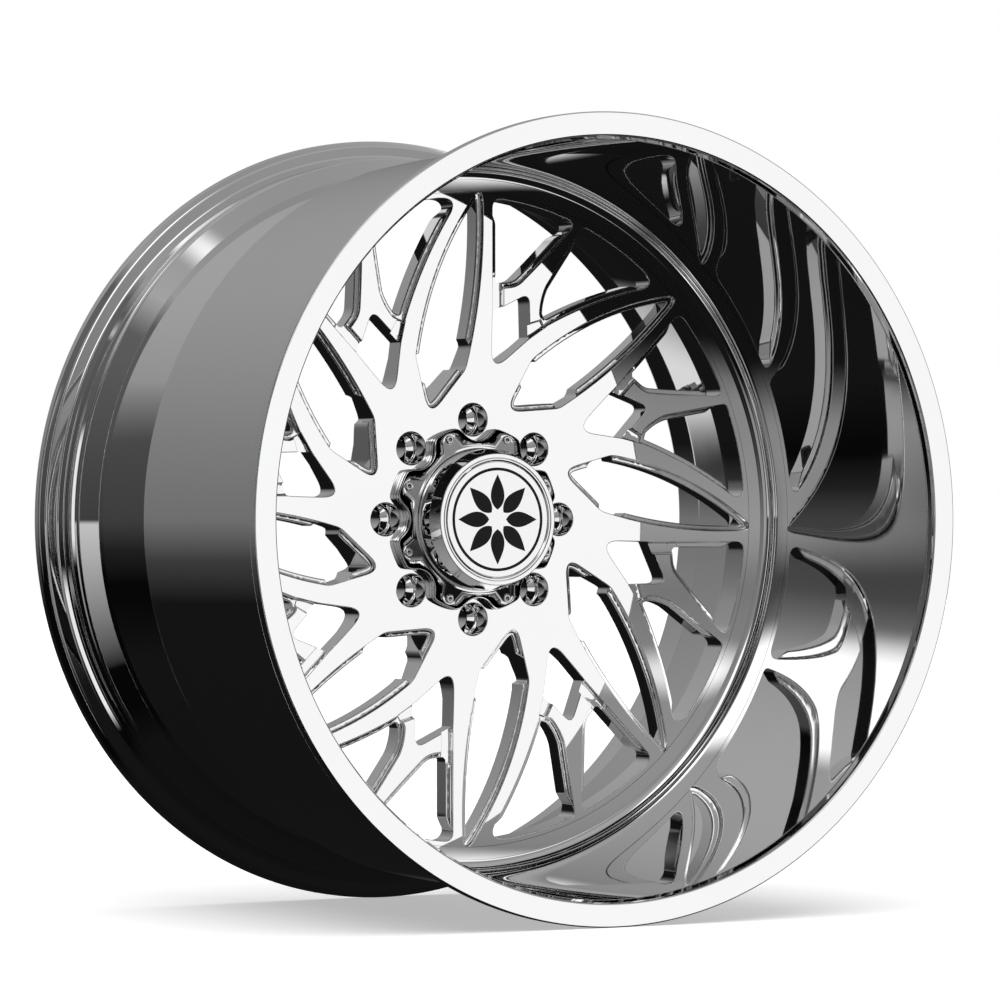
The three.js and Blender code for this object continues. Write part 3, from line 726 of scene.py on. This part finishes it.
for loop in loops:
    if loop[0] in lug_points:
        continue
    for a, b in zip(loop, loop[1:] + loop[:1]):
        faces.append((b, a, lower(a), lower(b)))
        groups.append(WALL_GROUP)
    if radius_of[loop].min() < SEAM_R - 2:
        back_holes.append(flat[loop])
bottom = sorted(low, key=low.get)
points = np.concatenate([points, at_y(flat[bottom], back_y[bottom])])
LUG_SEAT = [  # (radius, depth below the face) from the front to the back of a lug hole
    (LUG_R, 0.7), (LUG_R, LUG_DEPTH - 0.5), (LUG_R - 0.5, LUG_DEPTH), (12.4, LUG_DEPTH),
    (12, LUG_DEPTH + 0.3), (8.3, LUG_DEPTH + 6.6), (8, LUG_DEPTH + 7.2), (8, PAD_DEPTH - 0.8),
    (8.8, PAD_DEPTH),
]
for c in lug_centres:
    seat = [at_y(circle(r, LUG_STEPS, c), FACE_Y + d) for r, d in LUG_SEAT[::-1]]
    points = bridge(points, faces, groups, seat, SEAT_GROUP, crisp=True)
    back_holes.append(circle(LUG_SEAT[-1][0], LUG_STEPS, c))
behind, _, rear = sheet_of(
    circle(SEAM_R, ROUND_STEPS), [(clockwise(h), None) for h in back_holes],
    [(circle(r, 240), None) for r in BACK[1:-1, 0]], 0.02,
)
behind_r = np.linalg.norm(behind, axis=1)
base = len(points)
points = np.concatenate([points, at_y(behind, np.interp(behind_r, *BACK.T))])
for t in rear:
    faces.append(tuple(base + i for i in t[::-1]))
    middle = behind_r[list(t)].mean()
    groups.append(BACK_GROUP + int(np.searchsorted(BACK[1:-1, 0], middle)))
centre = build(
    "spoke_centre_polished", points, faces, groups, mirror_rim,
    flat=lambda p: np.abs(p[:, 1] - FACE_Y) < 1e-3,
)
tell(centre)

# %% [markdown]
# ## Centre cap
# The cap is turned from a bar, with a flange that is scalloped round every lug hole and held by
# eight screws. The scalloped plate uses the same sheet method as the face, and its front falls
# back a little towards the edge. The rest is turned.

# %% Cap flange
CAP_REAR_Y = FACE_Y - GAP
CAP_FLANGE_Y = CAP_REAR_Y - 10.2
CAP_BARREL_R = 58.0
CAP_BORE_R = 53.0
CAP_STEPS = 256
SCREW_R = 71.0


def lobed(r_lobe, r_scallop, cusp=2.2):
    """The outline of the flange: a circle scalloped round every lug hole, with soft cusps."""
    a = np.linspace(0, 2 * math.pi, 1600, endpoint=False)
    fold = (a + math.pi / SECTORS) % (2 * math.pi / SECTORS) - math.pi / SECTORS
    reach = r_scallop**2 - (BOLT_CIRCLE_R * np.sin(fold)) ** 2
    near = BOLT_CIRCLE_R * np.cos(fold) - np.sqrt(np.maximum(reach, 0))
    smooth = np.minimum(r_lobe, np.where(reach > 0, near, np.inf))
    width = int(cusp / (r_lobe * (a[1] - a[0])))
    for _ in range(3):
        smooth = np.mean([np.roll(smooth, k) for k in range(-width, width + 1)], 0)
    return np.stack([smooth * np.sin(a), smooth * np.cos(a)], 1)[::4]


steps_out = [  # (lobe radius, scallop radius, y) from the front edge to the rear
    (76.4, 18.6, CAP_FLANGE_Y), (76.9, 18.1, CAP_FLANGE_Y + 0.15), (77.2, 17.8, CAP_FLANGE_Y + 0.6),
    (77.3, 17.7, CAP_FLANGE_Y + 1.2), (77.3, 17.7, CAP_FLANGE_Y + 6.2), (77.35, 17.65, CAP_FLANGE_Y + 6.5),
    (77.6, 17.4, CAP_FLANGE_Y + 6.7), (77.6, 17.4, CAP_REAR_Y),
]
SLOPED_STEPS = 4  # the first of them follow the slope of the front
outlines = [lobed(a, b) for a, b, _ in steps_out]
screw_centres = [turn(np.array([[0.0, SCREW_R]]), s + 0.5)[0] for s in range(SECTORS)]
HEAD_R, HOLE_STEPS = 3.6, 32
HOLE_EDGE, HOLE_DEPTH = 0.3, 4.0
screw_holes = [circle(HEAD_R, HOLE_STEPS, c) for c in screw_centres]
screw_creases = [circle(HEAD_R + HOLE_EDGE, HOLE_STEPS, c) for c in screw_centres]
inner_r = CAP_BARREL_R + 2.5
FLANGE_SLOPE = 0.16
top, sunk, top_faces = sheet_of(
    outlines[0], [(h, HOLE_EDGE) for h in screw_holes] + [(circle(inner_r, 160), 0.0)],
    [(h, 0.0) for h in screw_creases], 0.002,
)


def slope(loop):
    """How far the front of the flange falls back at each point, towards its edge."""
    return FLANGE_SLOPE * (np.linalg.norm(loop, axis=1) - inner_r)


points = at_y(top, CAP_FLANGE_Y + slope(top) + sunk)
faces, groups = [tuple(t) for t in top_faces], [0] * len(top_faces)
side = [
    at_y(edge, y + slope(edge) * (k < SLOPED_STEPS))
    for k, (edge, (_, _, y)) in enumerate(zip(outlines, steps_out))
]
points = bridge(points, faces, groups, side[::-1], 1)
for mouth, c in zip(screw_holes, screw_centres):
    points = bridge(points, faces, groups, [
        at_y(mouth, CAP_FLANGE_Y + HOLE_EDGE + slope(mouth)),
        at_y(mouth, CAP_FLANGE_Y + HOLE_DEPTH),
        at_y(circle(0.5, HOLE_STEPS, c), CAP_FLANGE_Y + HOLE_DEPTH),
    ], 6, crisp=True)
bore = circle(CAP_BORE_R, len(outlines[-1]))
points = bridge(points, faces, groups, [at_y(bore, CAP_REAR_Y), at_y(outlines[-1], CAP_REAR_Y)], 2)
flange = build("cap_flange_polished", points, faces, groups, mirror_cap)
tell(flange)

# %% Cap barrel, ring and disc
C = CAP_FRONT_Y
cap_barrel = lathe("cap_barrel_polished", rounded([
    (CAP_BORE_R, CAP_REAR_Y - 1, 0), (inner_r, CAP_REAR_Y - 1, 0), (inner_r, CAP_FLANGE_Y, 0),
    (CAP_BARREL_R, CAP_FLANGE_Y, 2.5), (CAP_BARREL_R, C + 11.4, 1.2), (54.2, C, 0.9),
    (50.7, C, 0.3), (50.7, C + 2.7, 0), (8, C + 2.7, 0), (8, C + 8, 0), (50.4, C + 8, 1),
    (CAP_BORE_R, C + 11.4, 1),
]), CAP_STEPS, mirror_cap)
trim = lathe("cap_trim_ring_polished", rounded([
    (47.8, C + 2.4, 0), (47.8, C + 0.6, 0.3), (49, C, 0.4), (50.4, C, 0.5), (50.4, C + 2.4, 0),
]), CAP_STEPS, mirror_cap)
disc = lathe("cap_disc_satin", rounded([
    (0.0, C + 0.4, 0), (47.5, C + 0.4, 0.5), (47.5, C + 2.4, 0.1), (0.0, C + 2.4, 0),
]), 192, satin_disc)
tell(cap_barrel, trim, disc)

# %% [markdown]
# ## What repeats round the axis
# Screws and inlay petals are one shape set at equal angles. A small geometry node tree does
# that: it places points on a circle, sets an instance on each and realizes them.

# %% Ring of copies
def ring_tree():
    tree = bpy.data.node_groups.new("ring_of_copies", "GeometryNodeTree")
    wanted = {
        "Geometry": "Geometry", "Count": "Int", "Pitch radius": "Float", "First angle": "Float",
        "Finish": "Material",
    }
    for label, kind in wanted.items():
        tree.interface.new_socket(label, in_out="INPUT", socket_type="NodeSocket" + kind)
    tree.interface.new_socket("Geometry", in_out="OUTPUT", socket_type="NodeSocketGeometry")
    nodes, links = tree.nodes, tree.links

    def node(kind, settings=None, inputs=None):
        made = nodes.new(kind)
        for key, value in (settings or {}).items():
            setattr(made, key, value)
        for key, value in (inputs or {}).items():
            if hasattr(value, "is_output"):
                links.new(value, made.inputs[key])
            else:
                made.inputs[key].default_value = value
        return made

    def math_node(operation, *values):
        return node("ShaderNodeMath", {"operation": operation}, dict(enumerate(values))).outputs[0]

    def named(kind, **sockets):
        return node(kind, None, sockets).outputs[0]

    given = node("NodeGroupInput").outputs
    index = node("GeometryNodeInputIndex").outputs[0]
    step = math_node("DIVIDE", 2 * math.pi, given["Count"])
    angle = math_node("MULTIPLY_ADD", index, step, given["First angle"])
    across = named("ShaderNodeCombineXYZ", X=math_node("SINE", angle), Z=math_node("COSINE", angle))
    reach = {0: across, "Scale": given["Pitch radius"]}
    place = node("ShaderNodeVectorMath", {"operation": "SCALE"}, reach).outputs[0]
    dots = named("GeometryNodePoints", Count=given["Count"], Position=place)
    spin = named("ShaderNodeCombineXYZ", Y=angle)
    copies = named("GeometryNodeInstanceOnPoints", Points=dots, Instance=given["Geometry"], Rotation=spin)
    whole = node("GeometryNodeRealizeInstances", None, {0: copies}).outputs[0]
    coated = named("GeometryNodeSetMaterial", Geometry=whole, Material=given["Finish"])
    links.new(coated, node("NodeGroupOutput").inputs[0])
    return tree


RING = ring_tree()
print("ring of copies:", len(RING.nodes), "nodes")


def repeated(seed, name, count, radius, first_degrees, finish):
    """count copies of the seed piece round the wheel axis, as one plain mesh."""
    changer = seed.modifiers.new("ring", "NODES")
    changer.node_group = RING
    sockets = {s.name: s.identifier for s in RING.interface.items_tree if s.in_out == "INPUT"}
    changer[sockets["Count"]] = count
    changer[sockets["Pitch radius"]] = radius * MM
    changer[sockets["First angle"]] = math.radians(first_degrees)
    changer[sockets["Finish"]] = finish
    whole = seed.evaluated_get(bpy.context.evaluated_depsgraph_get())
    mesh = bpy.data.meshes.new_from_object(whole)
    mesh.name = name
    bpy.data.objects.remove(seed)
    made = bpy.data.objects.new(name, mesh)
    bpy.context.collection.objects.link(made)
    return made


# %% [markdown]
# ## Screws
# Each screw is a socket head: a turned head with a soft rim and a six-sided socket that looks
# dark. The socket is a second set of rings inside the head, with six corners spread to the
# head's own count of points.

# %% Screws
def hexagon(across, steps):
    """A six-sided outline with the given distance from the centre to a corner."""
    a = np.arange(steps) * 2 * math.pi / steps
    flat_r = across * math.cos(math.pi / 6) / np.cos((a + math.pi / 6) % (math.pi / 3) - math.pi / 6)
    return np.stack([flat_r * np.sin(a), flat_r * np.cos(a)], 1)


def socket_screw(name, y, head_r, finish):
    n, base = 36, 3.6
    head = [
        (0.01, base), (head_r, base), (head_r, 0.75), (head_r - 0.12, 0.4), (head_r - 0.45, 0.22),
        (2.15, 0.2),
    ]
    socket = [(2.0, 0.32), (1.85, 0.5), (1.85, 2.5), (0.01, 2.9)]
    rings = [at_y(circle(r, n), y + d) for r, d in head] + [at_y(hexagon(r, n), y + d) for r, d in socket]
    faces, groups = [], []
    points = bridge(np.zeros((0, 3)), faces, groups, rings, 0)
    bands = [0, 1, 1, 1, 1, 1, 2, 3, 4]  # which strips shade together, from the base into the socket
    groups = [bands[i // n] for i in range(len(faces))]
    return build(name, points, [f[::-1] for f in faces], groups, finish)


seed = socket_screw("seed", CAP_FLANGE_Y, 3.3, screw_steel)
screws = repeated(seed, "cap_screws_steel", SECTORS, SCREW_R, 180 / SECTORS, screw_steel)

# %% [markdown]
# ## Inlay
# The plate carries a plain dark rosette of eight petals inside a thin ring. It is a generic
# ornament that echoes the eight sectors of the wheel.

# %% Inlay
INLAY_FRONT_Y, INLAY_REAR_Y = C + 0.25, C + 0.7
PETAL_START, PETAL_LENGTH, PETAL_WIDTH = 8.0, 29.0, 6.4
RING_INNER_R, RING_OUTER_R = 40.2, 42.6


def plate_piece(name, loop, y_front, y_rear, finish):
    """A thin flat piece with a closed clockwise outline."""
    loop, n = clockwise(loop), len(loop)
    points = np.concatenate([at_y(loop, y_front), at_y(loop, y_rear)])
    faces = [tuple(range(n))[::-1], tuple(range(n, 2 * n))]
    groups = [0, 1] + [2] * n
    for i in range(n):
        j = (i + 1) % n
        faces.append((i, j, n + j, n + i))
    return build(name, points, faces, groups, finish)


petal_side = np.linspace(0, 1, 16)
petal_width = PETAL_WIDTH * np.sin(math.pi * petal_side**0.75)
petal_along = PETAL_START + PETAL_LENGTH * petal_side
petal = np.concatenate([
    np.stack([petal_width, petal_along], 1), np.stack([-petal_width, petal_along], 1)[-2:0:-1],
])
seed = plate_piece("seed", petal, INLAY_FRONT_Y, INLAY_REAR_Y, inlay_black)
petals = repeated(seed, "cap_inlay_petals", SECTORS, 0.0, 0.0, inlay_black)
inlay_ring = lathe("cap_inlay_ring", [
    (RING_INNER_R, INLAY_FRONT_Y), (RING_OUTER_R, INLAY_FRONT_Y),
    (RING_OUTER_R, INLAY_REAR_Y), (RING_INNER_R, INLAY_REAR_Y),
], 160, inlay_black)
tell(screws, petals, inlay_ring)

# %% [markdown]
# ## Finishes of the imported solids
# The small valve pieces, the sealing ring and the spring are already true to shape, so they
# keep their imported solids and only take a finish.

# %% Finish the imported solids
by_node = {
    "valve_stem": nickel, "valve_nut": nickel, "valve_washer": spring_steel, "valve_grommet": rubber,
    "valve_core_body": brass, "valve_core_pin": brass, "valve_core_spring": spring_steel,
    "valve_cap_seal": rubber, "valve_cap": plastic, "cap_o_ring": rubber,
}
for node, finish in by_node.items():
    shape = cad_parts[node]
    for slot in shape.material_slots:
        slot.link = "OBJECT"
        slot.material = finish
print("packed solids finished:", len(by_node))

# %% [markdown]
# ## Ride with the wheel
# Every piece made so far belongs to the wheel itself. The valve core and valve cap move, and
# they are imported solids that already ride on their own bodies.

# %% Ride and replace
rides = [
    (rim, "mirror_rim", ["rim_barrel"]),
    (centre, "mirror_rim", ["spoke_centre"]),
    (flange, "mirror_cap", ["cap_body"]),
    (cap_barrel, "mirror_cap", []),
    (trim, "mirror_cap", ["cap_trim_ring"]),
    (disc, "satin_disc", ["cap_disc"]),
    (screws, "screw_steel", [f"cap_screw_{k + 1}" for k in range(SECTORS)]),
    (petals, "satin_disc", []),
    (inlay_ring, "satin_disc", []),
]
for piece, slot, nodes in rides:
    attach(piece, "wheel")
    if nodes:
        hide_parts(*nodes)

# %% [markdown]
# ## Studio
# Polished metal shows the studio more than itself. The wheel stands on a pale floor in a white
# room. What the mirror sees is set apart from what the eye sees: a dark floor, a grey room that
# gets lighter overhead and darker to the left, and soft glowing cards. The card to the front
# right fills the flat face, the overhead one lights the cones, and narrow strips draw the thin
# bright lines along every rounded edge.

# %% Camera
ANGLE = math.radians(31.224)
DISTANCE, LENS, SENSOR = 4.1997, 191.2644, 36.0
AIM_LEFT, AIM_UP = 0.0221348, 0.00365149  # slopes of its aim off the middle of the front
forward = Vector((math.sin(ANGLE), math.cos(ANGLE), 0))
right = Vector((math.cos(ANGLE), -math.sin(ANGLE), 0))
up = Vector((0, 0, 1))
camera_data = bpy.data.cameras.new("camera")
camera_data.lens = LENS
camera_data.sensor_width = SENSOR
camera_data.clip_end = 100
camera = bpy.data.objects.new("camera", camera_data)
camera.location = Vector((0, FRONT_Y * MM, 0)) - DISTANCE * forward
aim = forward - right * AIM_LEFT + up * AIM_UP
camera.rotation_mode = "QUATERNION"
camera.rotation_quaternion = aim.to_track_quat("-Z", "Y")
bpy.context.collection.objects.link(camera)
bpy.context.scene.camera = camera
print("camera at", [round(v, 3) for v in camera.location])

# %% Room, floor and lights
bpy.context.scene.view_settings.view_transform = "Standard"


def stage_piece(name, points, faces, finish, seen_by):
    """A part of the studio, which only the named kinds of ray can see."""
    mesh = bpy.data.meshes.new(name)
    mesh.from_pydata(points, [], faces)
    mesh.materials.append(finish)
    made = bpy.data.objects.new(name, mesh)
    bpy.context.collection.objects.link(made)
    for ray in ("camera", "diffuse", "glossy", "transmission", "volume_scatter", "shadow"):
        setattr(made, "visible_" + ray, ray in seen_by)
    return made


def soft_glow(name, strength, soft, low):
    """A white glow that fades out towards the card's edges and dims to low at its lower edge."""
    finish = Finish(name, "ShaderNodeEmission", Color=(1, 1, 1, 1), Strength=strength)
    place = finish.node("ShaderNodeTexCoord", out="UV")
    share = 1.0
    for axis, edge in (("X", soft[0]), ("Y", soft[1])):
        along = finish.node("ShaderNodeSeparateXYZ", None, {0: place}, out=axis)
        for way in (along, 1 - along):
            ease = {"Value": way, "From Min": 0.0, "From Max": edge}
            share = finish.node("ShaderNodeMapRange", {"interpolation_type": "SMOOTHSTEP"}, ease) * share
        if axis == "Y":
            share = finish.node("ShaderNodeMapRange", None, {"Value": along, "To Min": low}) * share
    return finish.veil(share)


def card(name, azimuth, elevation, distance, width, height, strength, soft=(0.2, 0.2), low=1.0):
    """A glowing card that faces the wheel and is seen only in its polished metal."""
    a, e = math.radians(azimuth), math.radians(elevation)
    away = Vector((math.sin(a) * math.cos(e), -math.cos(a) * math.cos(e), math.sin(e)))
    level = away.cross(up).normalized()
    steep = level.cross(away)
    spots = [(0, 0), (1, 0), (1, 1), (0, 1)]
    corners = [
        away * distance + level * (x - 0.5) * width + steep * (z - 0.5) * height for x, z in spots
    ]
    glowing = soft_glow(name + "_glow", strength, soft, low)
    made = stage_piece(name, corners, [(0, 1, 2, 3)], glowing, ("glossy",))
    made.data.uv_layers.new(name="sheet").data.foreach_set("uv", [v for spot in spots for v in spot])


def graded(tree, direction, stops):
    """A grey that follows one direction of the room, from -1 to 1, through (place, value) stops."""
    stretch = tree.nodes.new("ShaderNodeMapRange")
    stretch.inputs["From Min"].default_value = -1
    tree.links.new(direction, stretch.inputs["Value"])
    ramp = tree.nodes.new("ShaderNodeValToRGB")
    tree.links.new(stretch.outputs[0], ramp.inputs[0])
    while len(ramp.color_ramp.elements) < len(stops):
        ramp.color_ramp.elements.new(0.5)
    for stop, (at, value) in zip(ramp.color_ramp.elements, stops):
        stop.position = at
        stop.color = grey(value)
    return ramp.outputs[0]


world = bpy.data.worlds.new("room")
bpy.context.scene.world = world
world.use_nodes = True
tree = world.node_tree
tree.nodes.clear()
split = tree.nodes.new("ShaderNodeSeparateXYZ")
tree.links.new(tree.nodes.new("ShaderNodeTexCoord").outputs["Generated"], split.inputs[0])
upward = graded(tree, split.outputs["Z"], [
    (0.0, 0.006), (0.4, 0.008), (0.45, 0.05), (0.5, 0.175), (0.6, 0.23), (0.7, 0.31), (0.78, 0.38),
    (0.86, 0.42), (1.0, 0.3),
])
sideways = graded(tree, split.outputs["X"], [(0.0, 0.3), (0.21, 0.3), (0.265, 1.0), (1.0, 1.0)])
room_light = tree.nodes.new("ShaderNodeBackground")
tree.links.new(upward, room_light.inputs["Color"])
tree.links.new(sideways, room_light.inputs["Strength"])
output = tree.nodes.new("ShaderNodeOutputWorld")
tree.links.new(room_light.outputs[0], output.inputs["Surface"])

card("front_right_card", 31.2, 0, 12, 6.6, 6.6, 1.05, (0.22, 0.22))
card("front_left_card", -26, -8, 6, 3.6, 4.2, 0.4, (0.25, 0.3), 0.6)
card("left_side_card", -54, -16, 6, 1.9, 3.44, 0.62, (0.2, 0.04), 0.0)
card("overhead_front_card", -22, 42, 6, 2.6, 5.6, 1.4, (0.25, 0.12))
card("rear_card", 180, -10, 6, 2.5, 2.3, 0.75, (0.25, 0.25))
card("left_low_strip", -76, -30, 6, 0.5, 4.4, 0.9, (0.3, 0.2))
card("rear_right_strip", 130, 25, 6, 0.8, 5.0, 1.2)
card("front_left_strip", -64, 20, 6, 0.45, 6.0, 1.3, (0.3, 0.2))
card("left_strip", -88, 8, 6, 0.5, 5.0, 1.2, (0.3, 0.2))
card("left_rear_strip", -112, 8, 6, 0.4, 4.0, 0.9, (0.3, 0.2))

floor_finish = Finish("pale_floor", Roughness=0.9, Emission_Strength=0.45)
speck = floor_finish.noise(3.0, 2.0)
floor_finish.feed(
    Base_Color=floor_finish.mix(speck, grey(0.9), grey(0.88)),
    Emission_Color=floor_finish.mix(speck, grey(1.0), grey(0.98)),
)
half, far = 14.0, 30.0
floor_corners = [(x * half, y * half, FLOOR_Z) for x, y in ((-1, -1), (1, -1), (1, 1), (-1, 1))]
stage_piece(
    "floor", floor_corners, [(0, 1, 2, 3)], floor_finish.material, ("camera", "diffuse", "shadow")
)
shell = [(x * far, y * far, z * far) for x in (-1, 1) for y in (-1, 1) for z in (-1, 1)]
sides = [(0, 1, 3, 2), (4, 6, 7, 5), (0, 4, 5, 1), (2, 3, 7, 6), (0, 2, 6, 4), (1, 5, 7, 3)]
room_glow = Finish("white_room_glow", "ShaderNodeEmission", Color=(1, 1, 1, 1), Strength=1.0)
stage_piece("white_room", shell, sides, room_glow.material, ("camera",))

lamp_data = bpy.data.lights.new("soft_top", "SUN")
lamp_data.energy = 2.2
lamp_data.angle = math.radians(70)
lamp = bpy.data.objects.new("soft_top", lamp_data)
lamp.rotation_euler = (math.radians(18), math.radians(-14), 0)
lamp.visible_glossy = False
bpy.context.collection.objects.link(lamp)
print("studio ready")
